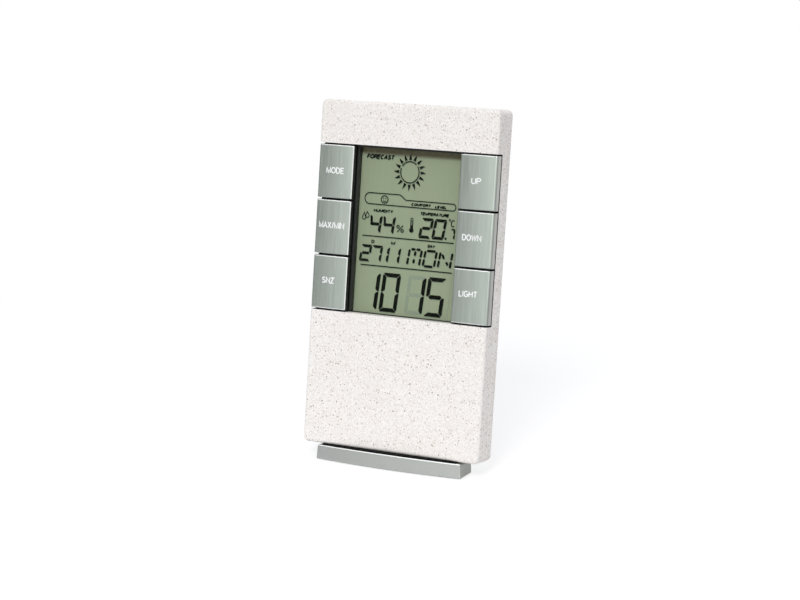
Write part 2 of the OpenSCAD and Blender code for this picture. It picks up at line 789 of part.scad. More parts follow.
module foot() {
    half_w = foot_w / 2;
    rise = body_lift;
    color("silver") difference() {
        intersection() {
            translate([0, 0, pad_proud]) linear_extrude(rise) foot_plan();
            translate([0, foot_bow_r - foot_d / 2, pad_proud])
                cylinder(r1 = foot_bow_r, r2 = foot_bow_r - foot_flare, h = rise, $fn = bow_sides);
            translate([0, foot_d, pad_proud]) rotate([90, 0, 0]) linear_extrude(2 * foot_d) polygon([
                [-half_w - foot_flare, 0], [half_w + foot_flare, 0], [half_w, rise], [-half_w, rise]]);
            lean_back() block(2 * foot_w, -foot_d, 2 * foot_d, -2 * body_lift, -spacer_t);
        }
        pad_seats(fit_gap);
        lean_back() at_foot_screws() {
            translate([0, 0, -2 * body_lift]) cylinder(r = foot_screw_r + seat_gap, h = 2 * body_lift);
            translate([0, 0, -2 * body_lift])
                cylinder(r = foot_head_r + slide_gap, h = 2 * body_lift + foot_seat_z);
        }
    }
}

module pad(w, y, gap) {
    translate([-w / 2 - gap, y - pad_d / 2 - gap, 0]) cube([w + 2 * gap, pad_d + 2 * gap, pad_t]);
}

module pad_seats(gap) {
    pad(pad_w, foot_bow + pad_inset - foot_d / 2, gap);
    pad(tail_pad_w, foot_d / 2 - pad_inset, gap);
}

module foot_pads() {
    color("#2a2a2a") pad_seats(0);
}

module foot_screws() {
    color("silver") lean_back() at_foot_screws() {
        translate([0, 0, foot_seat_z - foot_head_t]) cylinder(r = foot_head_r, h = foot_head_t);
        translate([0, 0, foot_seat_z - foot_head_t / 2])
            cylinder(r = foot_screw_r, h = foot_screw_l - foot_seat_z + foot_head_t / 2);
    }
}

front_shell();
rear_shell();
key_carrier();
display_window();
lcd_glass();
light_guide();
backlight_leds();
zebra_strip();
circuit_board();
controller_chip();
crystal();
capacitor();
resistors();
buzzer();
humidity_sensor();
temperature_sensor();
tact_switches();
key(-1, 2);  // mode_key
key(-1, 1);  // max_min_key
key(-1, 0);  // snooze_key
key(1, 2);  // up_key
key(1, 1);  // down_key
key(1, 0);  // light_key
plunger(-1, 2);  // mode_plunger
plunger(-1, 1);  // max_min_plunger
plunger(-1, 0);  // snooze_plunger
plunger(1, 2);  // up_plunger
plunger(1, 1);  // down_plunger
plunger(1, 0);  // light_plunger
cell(1, upper_cell_z);  // upper_battery
cell(-1, lower_cell_z);  // lower_battery
bridge_contact();
positive_contact();
negative_contact();
battery_door();
board_screws();
shell_screws();
foot_spacer();
foot();
foot_screws();
foot_pads();
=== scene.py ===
"""Looks for a desk weather station: a slab of straw-filled plastic that leans back on a silver
foot, with a sunken liquid crystal display between two columns of three silver keys. Lengths in
comments are millimetres."""

import json
import math

import bmesh
import bpy
from mathutils import Matrix, Vector


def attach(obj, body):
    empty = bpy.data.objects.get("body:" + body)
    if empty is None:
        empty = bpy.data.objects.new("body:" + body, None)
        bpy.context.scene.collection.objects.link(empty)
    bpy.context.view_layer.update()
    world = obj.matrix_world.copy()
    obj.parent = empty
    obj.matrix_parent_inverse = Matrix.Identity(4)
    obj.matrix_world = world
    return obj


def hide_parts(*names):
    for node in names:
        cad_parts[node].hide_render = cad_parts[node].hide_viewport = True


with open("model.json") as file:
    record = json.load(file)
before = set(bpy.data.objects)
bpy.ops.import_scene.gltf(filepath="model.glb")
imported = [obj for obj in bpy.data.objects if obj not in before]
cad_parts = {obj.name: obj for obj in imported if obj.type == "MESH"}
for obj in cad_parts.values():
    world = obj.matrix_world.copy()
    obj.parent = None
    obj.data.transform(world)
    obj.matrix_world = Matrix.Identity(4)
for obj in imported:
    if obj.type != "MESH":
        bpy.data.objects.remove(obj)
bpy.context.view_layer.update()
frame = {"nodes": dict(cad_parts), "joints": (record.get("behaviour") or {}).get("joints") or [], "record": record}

MM = 0.001
NODES = frame["nodes"]
BODY_OF = {n: b for b, members in frame["record"]["behaviour"]["bodies"].items() for n in members}

# The body leans back: its keys slide along its own depth axis, which gives the angle
press_axis = Vector(next(j["axis"] for j in frame["joints"] if j["type"] == "slide"))
lean = math.atan2(-press_axis.z, press_axis.y)
UPRIGHT_TO_ROW = Matrix.Rotation(-lean, 4, "X")
ROW_TO_UPRIGHT = UPRIGHT_TO_ROW.inverted()


def upright_box(node):
    """Lowest and highest corner of a CAD node in the body's own upright frame."""
    corners = [ROW_TO_UPRIGHT @ v.co for v in NODES[node].data.vertices]
    low = Vector([min(c[i] for c in corners) for i in range(3)])
    high = Vector([max(c[i] for c in corners) for i in range(3)])
    return low, high


shell_low, shell_high = upright_box("front_shell")
FRONT = shell_low.y
UNDERSIDE = shell_low.z


def from_body(x, depth, height):
    """A place on the body as a vector in the row frame. The three values are millimetres across,
    behind the front face and above the underside."""
    return UPRIGHT_TO_ROW @ Vector((x * MM, FRONT + depth * MM, UNDERSIDE + height * MM))


def to_body(place):
    """The same three millimetre values for a place in the row frame."""
    p = ROW_TO_UPRIGHT @ Vector(place)
    return Vector((p.x / MM, (p.y - FRONT) / MM, (p.z - UNDERSIDE) / MM))


def way_of(face):
    """The way a mesh face looks, in the body's own upright frame: near 1 along an axis is straight
    along it."""
    return ROW_TO_UPRIGHT.to_3x3() @ face.normal


def middle_of(face):
    """The middle of a mesh face, in millimetres on the body."""
    return to_body(face.calc_center_median())


def fade(value, start, end):
    """1 up to start, 0 from end on, and even in between."""
    return min(1, max(0, (end - value) / (end - start)))


# Camera, where the photograph was taken from
camera_place = (0.35825, -0.72176, 0.23624)
camera_target = (0.00396, -0.0135, 0.06736)
camera_lens_mm = 94.92
camera_sensor_mm = 36
camera_roll = math.radians(0.146)

# Meshes: what counts as one point, as one flat face, as a smooth edge and as the same place
weld_distance = 0.002
flat_within = math.radians(0.4)
smooth_below = math.radians(32)
close = 0.05

# Radii of the moulded edges, and the depths at which the back face and the door's face begin
lip_round = 0.15
parting_round = 0.25
back_round = 0.35
rim_round = 0.4
outer_skin = 0.3
back_face_from = 13
door_face_from = 15.5

# The notch across the front: its floor in the side walls is drawn back by notch_floor_reach, and
# the ledge at its foot is painted black as shade from ledge_inner to ledge_outer, under the keys
notch_margin = 3
notch_depth = 6
notch_floor = 3.2
notch_floor_reach = 1.4
ledge_depth = 4
ledge_heights = (40, 60)
ledge_inner = 22.9
ledge_outer = 37.2

# Keys: the fall of the crowned face at its sides, the easing of the front edges, and how far the
# outer ends of the top and bottom rows lie inside the solids
key_strips = 14
key_crown = 0.45
key_bevel = 0.36
key_end_ease = 0.25
key_end_depth = 5
# Their outer walls: thickness, how far they are drawn back, and draft
key_wall = 1.0
key_wall_reach = 1.1
key_draft = 0.22
key_draft_depth = 3
# Depths behind the face to which the face and the rounded corner in painted shade reach
key_face_depth = 0.6
key_corner_shade = 1.6
# Their legends
legend_height = 2.5
legend_stroke = 0.44
legend_ink = 0.03

# Display, in millimetres on the body: thickness of the figures, where their painted shadows fall,
# the two long rules, the outline of the comfort field, and the band of painted shadow at the top
figure_ink = 0.03
figure_shadow_shift = (0.15, -0.32)
rule_width = 0.46
rule_heights = (83.35, 71.85)
rule_reach = 19.8
outline_width = 0.42
band_half = 21.9
band_low = 115.0
band_high = 118.9
band_fade = 1.15

# Light, in metres and watts
lamp_azimuth = math.radians(12.6)
lamp_elevation = math.radians(38.7)
lamp_distance = 4.0
lamp_size = 1.3
lamp_power = 66.5
lamp_target = (0, 0, 0.06)
sky_strength = 0.66
# The board: its own brightness to the camera, and the distances over which it turns plain white and
# over which it stops lighting other things
board_size = 3.0
board_drop = 0.05
board_glow = 0.685
board_white = (0.22, 0.36)
board_dimming = (0.3, 0.7)
# The room that gloss sees: how bright it is at most, and where it brightens across and upwards
room_brightness = 1.3
room_across = (-0.697, -0.102)
room_upwards = (0.25, 0.9)


def linear(code):
    """sRGB hex to linear RGBA."""
    parts = [int(code[i:i + 2], 16) / 255 for i in (1, 3, 5)]
    flat = [c / 12.92 if c <= 0.04045 else ((c + 0.055) / 1.055) ** 2.4 for c in parts]
    return (*flat, 1.0)


def add(tree, kind, inputs=None, **settings):
    """Adds one shader node with its settings. Each input is a constant or another node's output."""
    made = tree.nodes.new("ShaderNode" + kind)
    for name, value in settings.items():
        setattr(made, name, value)
    for name, value in (inputs or {}).items():
        if isinstance(value, bpy.types.NodeSocket):
            tree.links.new(value, made.inputs[name])
        else:
            made.inputs[name].default_value = value
    return made


def empty_tree(owner):
    """An empty node tree for a material or a world."""
    owner.use_nodes = True
    owner.node_tree.nodes.clear()
    return owner.node_tree


def material(name, paint, **constants):
    """A material whose colour, roughness and relief come from paint(tree, place), and whose other
    surface values are constants. paint returns sockets for Base Color, Roughness or Normal."""
    made = bpy.data.materials.new(name)
    tree = empty_tree(made)
    place = add(tree, "TexCoord").outputs["Object"]
    values = {k.replace("_", " "): v for k, v in constants.items()}
    values.update(paint(tree, place))
    body = add(tree, "BsdfPrincipled", values)
    add(tree, "OutputMaterial", {"Surface": body.outputs[0]})
    return made


def grain(tree, place, size_mm, stretch=(1, 1, 1), detail=3.0):
    """Noise whose grains are size_mm wide, drawn out by stretch."""
    scale = [1 / (size_mm * MM * s) for s in stretch]
    moved = add(tree, "Mapping", {"Vector": place, "Scale": scale})
    made = add(tree, "TexNoise", {"Vector": moved.outputs[0], "Scale": 1.0, "Detail": detail})
    return made.outputs[0]


def between(tree, factor, low, high, start=0.3, end=0.7):
    """Maps a factor from start..end to low..high."""
    made = add(tree, "MapRange", {"Value": factor, "From Min": start, "From Max": end,
                                  "To Min": low, "To Max": high})
    return made.outputs[0]


def blend_colours(tree, factor, first, second):
    """A mix of two colours, each a hex value or a socket."""
    ends = [linear(c) if isinstance(c, str) else c for c in (first, second)]
    made = add(tree, "Mix", {0: factor, 6: ends[0], 7: ends[1]}, data_type="RGBA")
    return made.outputs[2]


def mottled(tree, pattern, first, second):
    """Two colours mixed over the whole range of a pattern."""
    return blend_colours(tree, between(tree, pattern, 0.0, 1.0), first, second)


def relief(tree, height, depth_mm):
    """Bump from a height socket, depth_mm deep."""
    made = add(tree, "Bump", {"Height": height, "Distance": depth_mm * MM, "Strength": 1.0})
    return made.outputs[0]


def surface(tree, colour, pattern, low, high, depth_mm=0.0):
    """Sockets for a surface whose roughness, from low to high, and relief come from one pattern."""
    sockets = {"Base Color": colour, "Roughness": between(tree, pattern, low, high)}
    if depth_mm:
        sockets["Normal"] = relief(tree, pattern, depth_mm)
    return sockets


def specks(tree, place, colour, cell_mm, size_share, presence, tones):
    """Scatters specks over a colour: one in some of the cells, each of one of three tones, with
    ragged edges."""
    ragged = add(tree, "TexNoise", {"Vector": place, "Scale": 1 / (0.5 * cell_mm * MM)})
    pushed = add(tree, "VectorMath", {0: ragged.outputs["Color"], 1: (0.35 * cell_mm * MM,) * 3},
                 operation="MULTIPLY")
    moved = add(tree, "VectorMath", {0: place, 1: pushed.outputs[0]})
    cells = add(tree, "TexVoronoi", {"Vector": moved.outputs[0], "Scale": 1 / (cell_mm * MM)})
    parts = add(tree, "SeparateColor", {0: cells.outputs["Color"]})
    reach = between(tree, parts.outputs[0], 0.0, size_share, 1 - presence, 1.0)
    edge = add(tree, "Math", {0: reach, 1: cells.outputs["Distance"]}, operation="SUBTRACT")
    inside = between(tree, edge.outputs[0], 0.0, 1.0, 0.0, 0.3 * size_share)
    ramp = add(tree, "ValToRGB", {0: parts.outputs[1]})
    ramp.color_ramp.interpolation = "CONSTANT"
    stops = ramp.color_ramp.elements
    for start, tone in zip((0.0, 0.4, 0.75), tones):
        stop = stops[0] if start == 0 else stops.new(start)
        stop.color = linear(tone)
    return blend_colours(tree, inside, colour, ramp.outputs[0])


def straw_filled_polypropylene():
    """Polypropylene filled with ground wheat straw, injection moulded with a fine spark texture: a
    warm off-white with many fine brown, grey and ochre specks, matt, with no gloss of its own."""
    def paint(tree, place):
        cloud = grain(tree, place, 14.0, detail=2.0)
        meal = grain(tree, place, 0.55, detail=2.0)
        colour = mottled(tree, cloud, "#FEFBF7", "#FBF7F1")
        colour = blend_colours(tree, between(tree, meal, 0.0, 0.66, 0.36, 0.66), colour, "#D9D0C6")
        colour = specks(tree, place, colour, 0.8, 0.42, 0.65, ("#C4B8AC", "#BBAFA3", "#D3C7BA"))
        colour = specks(tree, place, colour, 1.25, 0.3, 0.5, ("#A59584", "#9C928A", "#B8A089"))
        colour = specks(tree, place, colour, 2.8, 0.13, 0.45, ("#847565", "#77716B", "#987D64"))
        texture = grain(tree, place, 0.25)
        return surface(tree, colour, texture, 0.58, 0.72, 0.012)
    return material("straw_filled_polypropylene", paint, IOR=1.49)


def brushed_silver_lacquer(name, dark, light, broad_tone):
    """Silver lacquer on a moulded key, brushed down its length: fine upright lines that break up
    the reflection. The lines are drawn 0.3 wide, coarser than real ones, so that they show."""
    def paint(tree, place):
        lines = grain(tree, place, 0.3, stretch=(1, 400, 60), detail=4.0)
        broad = grain(tree, place, 1.6, stretch=(1, 400, 25), detail=2.0)
        colour = mottled(tree, lines, dark, light)
        colour = blend_colours(tree, between(tree, broad, 0.0, 0.35), colour, broad_tone)
        return surface(tree, colour, lines, 0.34, 0.46, 0.004)
    return material(name, paint, Metallic=1.0)


def painted_edge_highlight():
    """Painted highlight on the eased edges that face the light: a pale, half-metallic line along
    the edge."""
    def paint(tree, place):
        cover = grain(tree, place, 0.8, detail=2.0)
        colour = mottled(tree, cover, "#EDEFEC", "#F8F9F7")
        return surface(tree, colour, cover, 0.36, 0.46)
    return material("painted_edge_highlight", paint, Metallic=0.3, IOR=1.5)


def sprayed_silver_lacquer(name, dark, light, pooled):
    """Silver lacquer with fine aluminium flake, sprayed on the moulded foot: even satin grey. A darker
    copy on the end faces is painted shade."""
    def paint(tree, place):
        flake = grain(tree, place, 0.18, detail=2.0)
        sag = grain(tree, place, 9.0, detail=1.0)
        colour = mottled(tree, flake, dark, light)
        colour = blend_colours(tree, between(tree, sag, 0.0, 0.25), colour, pooled)
        return surface(tree, colour, flake, 0.4, 0.5, 0.003)
    return material(name, paint, Metallic=1.0)


def textured_abs(name, shade, light, gloss=(0.42, 0.58), sheen=0.5):
    """ABS, injection moulded with a light texture: even colour and a soft sheen."""
    def paint(tree, place):
        texture = grain(tree, place, 0.3)
        colour = mottled(tree, texture, shade, light)
        return surface(tree, colour, texture, *gloss, 0.01)
    return material(name, paint, IOR=1.53, Specular_IOR_Level=sheen)


def reflective_display():
    """Twisted nematic display glass over a transflective film: grey-green, with the film's faint
    upright streaks and silvery grain, and a hard anti-glare surface."""
    def paint(tree, place):
        film = grain(tree, place, 0.22, detail=2.0)
        streaks = grain(tree, place, 1.3, stretch=(1, 400, 30), detail=3.0)
        patches = grain(tree, place, 12.0, detail=2.0)
        colour = mottled(tree, film, "#A2AF8D", "#A9B794")
        colour = blend_colours(tree, between(tree, streaks, 0.0, 0.5), colour, "#9CA98F")
        colour = blend_colours(tree, between(tree, patches, 0.0, 0.4), colour, "#A9B194")
        return surface(tree, colour, film, 0.28, 0.36)
    return material("reflective_display", paint, IOR=1.52, Specular_IOR_Level=0.2)


def liquid_crystal(name, dark, light, sheen=0.2):
    """Liquid crystal between crossed polarisers, slightly uneven: near-black with a green cast
    where it is switched on, a shade of the display where it is off or where a shadow falls."""
    def paint(tree, place):
        uneven = grain(tree, place, 0.8, detail=2.0)
        colour = mottled(tree, uneven, dark, light)
        return surface(tree, colour, uneven, 0.3, 0.38)
    return material(name, paint, IOR=1.52, Specular_IOR_Level=sheen)


def printed_ink(name, dark, light):
    """Pad-printed ink: flat and matt, a little uneven in cover."""
    def paint(tree, place):
        cover = grain(tree, place, 0.2, detail=2.0)
        colour = mottled(tree, cover, dark, light)
        return surface(tree, colour, cover, 0.5, 0.62)
    return material(name, paint, IOR=1.5)


def clear_acrylic():
    """Polished clear acrylic sheet: hardly visible, with faint handling marks in its gloss."""
    def paint(tree, place):
        marks = grain(tree, place, 2.0, stretch=(1, 1, 6), detail=4.0)
        colour = blend_colours(tree, marks, "#22281F", "#2C3229")
        return surface(tree, colour, marks, 0.03, 0.08)
    return material("clear_acrylic", paint, IOR=1.49, Alpha=0.05)


def frosted_acrylic():
    """Cast acrylic with a frosted face, which spreads the backlight."""
    def paint(tree, place):
        frost = grain(tree, place, 0.15)
        colour = mottled(tree, frost, "#E6E9E4", "#F2F4EF")
        return surface(tree, colour, frost, 0.45, 0.6, 0.01)
    return material("frosted_acrylic", paint, IOR=1.49)


def solder_mask():
    """Green solder mask on glass epoxy: tracks and pads show through as lighter, raised lines."""
    def paint(tree, place):
        cells = add(tree, "TexVoronoi", {"Vector": place, "Scale": 1 / (2.4 * MM)},
                    feature="DISTANCE_TO_EDGE")
        track = between(tree, cells.outputs[0], 1.0, 0.0, 0.05, 0.1)
        weave = grain(tree, place, 0.3)
        colour = blend_colours(tree, track, "#0B3A20", "#1B5A33")
        colour = blend_colours(tree, between(tree, weave, 0.0, 0.3), colour, "#124828")
        return {"Base Color": colour, "Roughness": between(tree, weave, 0.3, 0.42),
                "Normal": relief(tree, track, 0.035)}
    return material("solder_mask", paint, IOR=1.5)


def cast_epoxy():
    """Black epoxy, poured or moulded: dark and glossy with a faint ripple."""
    def paint(tree, place):
        ripple = grain(tree, place, 1.5)
        colour = blend_colours(tree, ripple, "#121214", "#1D1D20")
        return surface(tree, colour, ripple, 0.22, 0.34, 0.03)
    return material("cast_epoxy", paint, IOR=1.55)


def plated_metal(name, low, high, drawn=(1, 1, 1), gloss=(0.22, 0.34)):
    """Plated metal, drawn or stamped: bright, with fine lines along the way it was worked."""
    def paint(tree, place):
        lines = grain(tree, place, 0.2, stretch=drawn, detail=4.0)
        colour = mottled(tree, lines, low, high)
        return surface(tree, colour, lines, *gloss, 0.003)
    return material(name, paint, Metallic=1.0)


def moulded_rubber():
    """Moulded black rubber: dull, with a fine bloom."""
    def paint(tree, place):
        bloom = grain(tree, place, 0.4)
        colour = mottled(tree, bloom, "#1E1E1F", "#2B2B2C")
        return surface(tree, colour, bloom, 0.75, 0.88, 0.02)
    return material("moulded_rubber", paint, IOR=1.52)


def shrink_sleeve(name, low, high):
    """Printed shrink sleeve: glossy film with a slight orange-peel surface."""
    def paint(tree, place):
        peel = grain(tree, place, 0.9)
        colour = mottled(tree, peel, low, high)
        return surface(tree, colour, peel, 0.16, 0.26, 0.01)
    return material(name, paint, IOR=1.5)


SHELL = straw_filled_polypropylene()
KEY = brushed_silver_lacquer("brushed_silver_lacquer", "#ACB3AB", "#BEC5BD", "#A7AFAD")
# Lighter, greyer copy of the key lacquer: painted reflection on the keys' outer walls
KEY_WALL_PAINTED_LIGHT = brushed_silver_lacquer("silver_lacquer_painted_light_wall", "#B8B8B1", "#C9C9C2", "#B3B4B1")
# Darker copy of the key lacquer: painted shade on the rounded outer corner
KEY_CORNER_PAINTED_SHADE = brushed_silver_lacquer("silver_lacquer_painted_shade_corner", "#989B96", "#A5A7A2", "#959895")
EDGE_HIGHLIGHT = painted_edge_highlight()
FOOT = sprayed_silver_lacquer("sprayed_silver_lacquer", "#B9BBB8", "#C6C8C5", "#C4C6C3")
FOOT_END_SHADE = sprayed_silver_lacquer("silver_lacquer_painted_shade_end", "#A4A6A1", "#B2B4AF", "#AEB0AB")
BLACK = textured_abs("black_abs", "#151915", "#1D211D")
# Near-black: the foot spacer's own black, and painted shade in the notch, on the ledge and in the key gaps
JET_AND_SHADE = textured_abs("jet_abs_and_painted_shade", "#030303", "#070707", gloss=(0.6, 0.7), sheen=0.1)
IVORY = textured_abs("ivory_acetal", "#DEDACD", "#E8E4D8", gloss=(0.3, 0.4))
GLASS = reflective_display()
FIGURE = liquid_crystal("dark_liquid_crystal", "#060B05", "#0B110A", sheen=0.06)
FIGURE_SHADOW = liquid_crystal("figure_shadow", "#85937A", "#8B987F")
UNLIT = liquid_crystal("unlit_liquid_crystal", "#94A28B", "#98A68F")
LEGEND = printed_ink("white_printed_ink", "#F4F4F2", "#FCFCFA")
WINDOW = clear_acrylic()
GUIDE = frosted_acrylic()
BOARD = solder_mask()
EPOXY = cast_epoxy()
TIN = plated_metal("tinned_can", "#A9A9A8", "#C4C4C2")
NICKEL = plated_metal("nickel_spring_steel", "#B9B5AB", "#D6D2C8", drawn=(6, 1, 1))
ZINC = plated_metal("zinc_plated_steel", "#9B9DA0", "#B9BBBE", gloss=(0.3, 0.42))
RUBBER = moulded_rubber()
SLEEVE = shrink_sleeve("blue_cell_sleeve", "#2C6FA8", "#3A7DB5")
SLEEVE_END = shrink_sleeve("silver_cell_sleeve", "#B9BCC0", "#C6C9CC")
CAPACITOR_SLEEVE = shrink_sleeve("black_capacitor_sleeve", "#15181F", "#20242C")

FINISH = {
    "front_shell": SHELL, "rear_shell": SHELL, "battery_door": SHELL, "key_carrier": BLACK,
    "display_window": WINDOW, "lcd_glass": GLASS, "light_guide": GUIDE, "backlight_leds": GUIDE,
    "zebra_strip": RUBBER, "circuit_board": BOARD, "controller_chip": EPOXY, "crystal": TIN,
    "capacitor": CAPACITOR_SLEEVE, "resistors": EPOXY, "buzzer": BLACK, "humidity_sensor": IVORY,
    "temperature_sensor": EPOXY, "tact_switches": BLACK, "bridge_contact": NICKEL,
    "positive_contact": NICKEL, "negative_contact": NICKEL, "board_screws": ZINC,
    # foot_spacer: black of its own, made near-black as painted shade for the gap under the body
    "shell_screws": ZINC, "foot_screws": ZINC, "foot_spacer": JET_AND_SHADE, "foot": FOOT,
    "foot_pads": RUBBER, "upper_battery": SLEEVE, "lower_battery": SLEEVE,
}
for name in NODES:
    if name.endswith("_key"):
        FINISH[name] = KEY
    elif name.endswith("_plunger"):
        FINISH[name] = IVORY
for name, finish in FINISH.items():
    mesh = NODES[name].data
    mesh.materials.clear()
    mesh.materials.append(finish)


def placed(name, data):
    """A new object in the scene for a mesh, a lamp or a camera."""
    made = bpy.data.objects.new(name, data)
    bpy.context.scene.collection.objects.link(made)
    return made


def piece(name, bm, finishes, node, replaces=()):
    """Turns a bmesh in the row frame into a piece that rides on the body of a CAD node, with smooth
    shading that stops at sharp edges. finishes are in the order of the faces' material indexes."""
    bmesh.ops.recalc_face_normals(bm, faces=bm.faces)
    for face in bm.faces:
        face.smooth = True
    for edge in bm.edges:
        edge.smooth = len(edge.link_faces) == 2 and edge.calc_face_angle() < smooth_below
    mesh = bpy.data.meshes.new(name)
    bm.to_mesh(mesh)
    bm.free()
    for finish in finishes:
        mesh.materials.append(finish)
    made = placed(name, mesh)
    weights = made.modifiers.new("flat faces stay flat", "WEIGHTED_NORMAL")
    weights.keep_sharp = True
    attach(made, BODY_OF[node])
    if replaces:
        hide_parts(*replaces)


def node_mesh(node):
    """A CAD node's mesh as a bmesh, with its triangles merged into flat faces."""
    bm = bmesh.new()
    bm.from_mesh(NODES[node].data)
    bmesh.ops.remove_doubles(bm, verts=bm.verts, dist=weld_distance * MM)
    bmesh.ops.dissolve_limit(bm, angle_limit=flat_within, verts=bm.verts, edges=bm.edges)
    return bm


def round_edges(bm, width, chosen, sharper_than=40, clamp=True):
    """Rounds the edges sharper than an angle in degrees whose two ends are both chosen, by their
    places on the body."""
    edges = [e for e in bm.edges
             if len(e.link_faces) == 2 and e.calc_face_angle() > math.radians(sharper_than)
             and all(chosen(to_body(v.co)) for v in e.verts)]
    if edges:
        bmesh.ops.bevel(bm, geom=edges, offset=width * MM, offset_type="OFFSET", segments=3,
                        profile=0.5, affect="EDGES", clamp_overlap=clamp)


def cut_through(bm, place, way):
    """Cuts a whole mesh at a plane and keeps both sides."""
    bmesh.ops.bisect_plane(bm, geom=bm.verts[:] + bm.edges[:] + bm.faces[:], plane_co=place,
                           plane_no=way)


# Moulded parts: the CAD meshes with their edges rounded where a mould rounds them
shell_half = (shell_high.x - shell_low.x) / 2 / MM
shell_top = (shell_high.z - UNDERSIDE) / MM
front_back = (shell_high.y - FRONT) / MM


def notch_lip(p):
    """True on the front lips of the notch."""
    return abs(p.y) < close and notch_margin < p.z < shell_top - notch_margin


def parting_edge(p):
    """True on the outer edges where the two halves meet."""
    outside = (abs(p.x) > shell_half - outer_skin or p.z < outer_skin
               or p.z > shell_top - outer_skin)
    return outside and abs(p.y - front_back) < outer_skin


def on_ledge(face):
    """True on the ledge at the foot of the notch."""
    middle = middle_of(face)
    low, high = ledge_heights
    return way_of(face).z > 0.99 and low < middle.z < high and middle.y < ledge_depth


# The photograph shows the keys' outer walls reach further back than in the solids, so they and the
# notch in the side walls are drawn deeper
front = node_mesh("front_shell")
for v in front.verts:
    p = to_body(v.co)
    if abs(p.y - notch_floor) < 0.1 * close and abs(p.x) > shell_half - notch_margin:
        v.co = from_body(p.x, p.y + notch_floor_reach, p.z)
# Only shade shows in the gap under the lowest keys, so the ledge there is painted black as shade
for cut in (-ledge_outer, -ledge_inner, ledge_inner):
    ledge = [f for f in front.faces if on_ledge(f)]
    rims = {e for f in ledge for e in f.edges}
    corners = {v for f in ledge for v in f.verts}
    bmesh.ops.bisect_plane(front, geom=[*ledge, *rims, *corners], plane_co=(cut * MM, 0, 0),
                           plane_no=(1, 0, 0))
round_edges(front, lip_round, notch_lip)
round_edges(front, parting_round, parting_edge)
front.normal_update()
# Painted shade: the notch's back wall and ceiling, and the ledge under the keys, are near-black
front_finishes = [SHELL, JET_AND_SHADE]
for f in front.faces:
    way = way_of(f)
    middle = middle_of(f)
    back_wall = way.y < -0.99 and 1 < middle.y < notch_depth
    upper_wall = (way.z < -0.9 and 0 < middle.y < notch_depth
                  and ledge_heights[1] < middle.z < shell_top - notch_margin)
    under_keys = middle.x > ledge_inner or -ledge_outer < middle.x < -ledge_inner
    if back_wall or upper_wall or (under_keys and on_ledge(f)):
        f.material_index = front_finishes.index(JET_AND_SHADE)
piece("front_half", front, front_finishes, "front_shell", ["front_shell"])

rear = node_mesh("rear_shell")
round_edges(rear, parting_round, parting_edge)
round_edges(rear, back_round, lambda p: p.y > back_face_from, sharper_than=60)
piece("rear_half", rear, [SHELL], "rear_shell", ["rear_shell"])

door = node_mesh("battery_door")
round_edges(door, parting_round, lambda p: p.y > door_face_from, sharper_than=60)
piece("door_panel", door, [SHELL], "battery_door", ["battery_door"])

piece("inner_frame", node_mesh("key_carrier"), [BLACK], "key_carrier", ["key_carrier"])

key_boxes = {n: upright_box(n) for n in NODES if n.endswith("_key")}


def key_face(node):
    """Depth of a key's crowned face at a place across the body."""
    low, high = key_boxes[node]
    middle = (low.x + high.x) / 2 / MM
    half = (high.x - low.x) / 2 / MM
    level = (low.y - FRONT) / MM
    return lambda u: level + key_crown * ((u - middle) / half) ** 2


